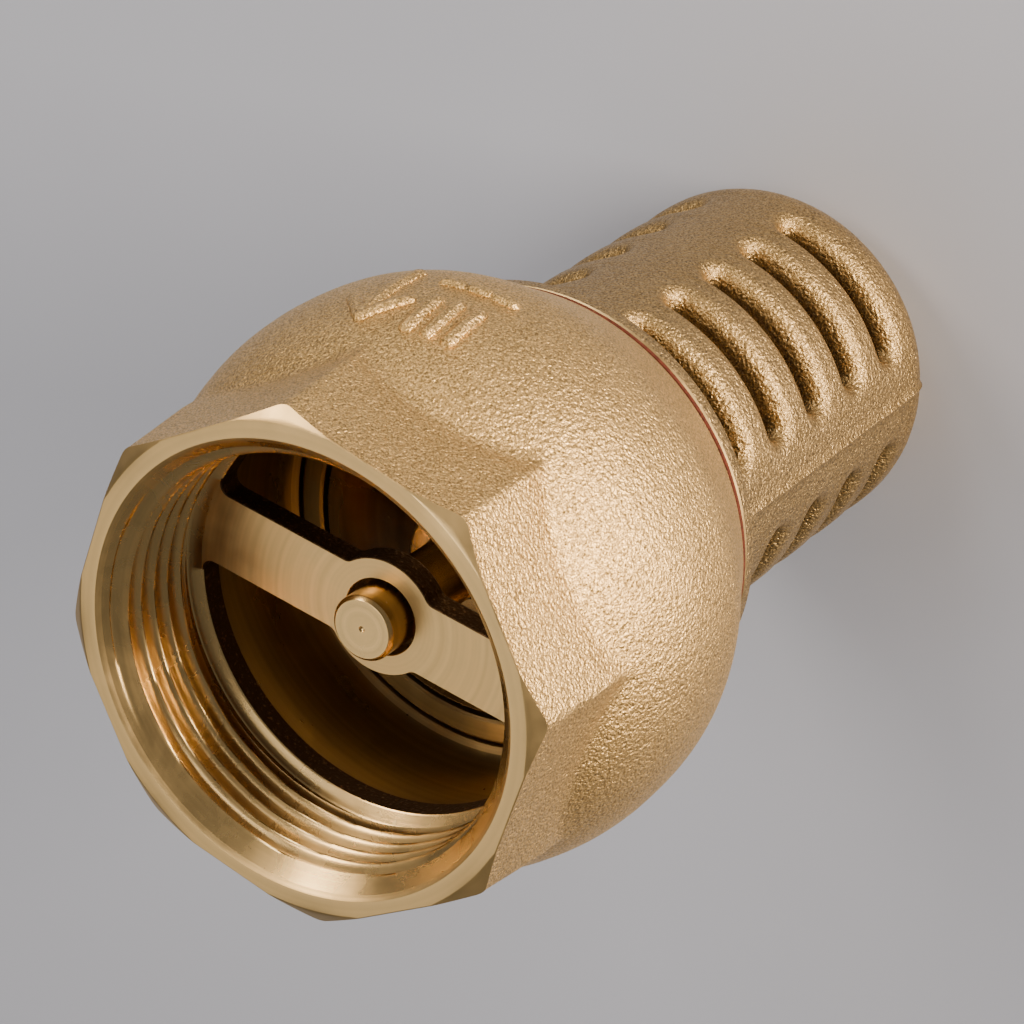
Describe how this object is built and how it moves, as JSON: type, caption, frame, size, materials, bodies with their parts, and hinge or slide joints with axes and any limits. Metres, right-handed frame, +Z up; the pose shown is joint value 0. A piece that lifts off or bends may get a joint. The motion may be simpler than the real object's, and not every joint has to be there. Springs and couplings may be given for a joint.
{
  "type": "foot valve",
  "caption": "Brass foot valve: threaded octagonal pipe socket, round body with a guided lift poppet, and a slotted closed-end strainer below a gasket.",
  "frame": {"origin": "middle of the strainer's closed end, on the valve axis", "axes": "+Z up along the valve axis towards the pipe socket; +X and +Y square to two of the socket's wrench flats"},
  "size_m": [0.0636, 0.0636, 0.102],
  "materials": {
    "cast_brass": "shot-blasted casting with turned mouth, bevel, thread and bridge face",
    "strainer_brass": "smooth sand casting, slightly duller than the body",
    "stem_brass": "turned, satin",
    "disc_brass": "turned, fine concentric marks",
    "washer_brass": "stamped, satin",
    "nut_brass": "machined, satin",
    "gasket_fibre": "red-brown vulcanised fibre sheet, matt",
    "seal_rubber": "black moulded rubber, matt"
  },
  "bodies": {
    "housing": {"valve_body": "cast_brass", "body_gasket": "gasket_fibre", "strainer": "strainer_brass"},
    "poppet": {"poppet_stem": "stem_brass", "poppet_disc": "disc_brass", "seat_seal": "seal_rubber", "seal_washer": "washer_brass", "lock_washer": "washer_brass", "stem_nut": "nut_brass"}
  },
  "joints": [
    {"name": "poppet_lift", "type": "slide", "parent": "housing", "child": "poppet", "axis": [0, 0, 1], "range_m": [0, 0.0116]}
  ]
}
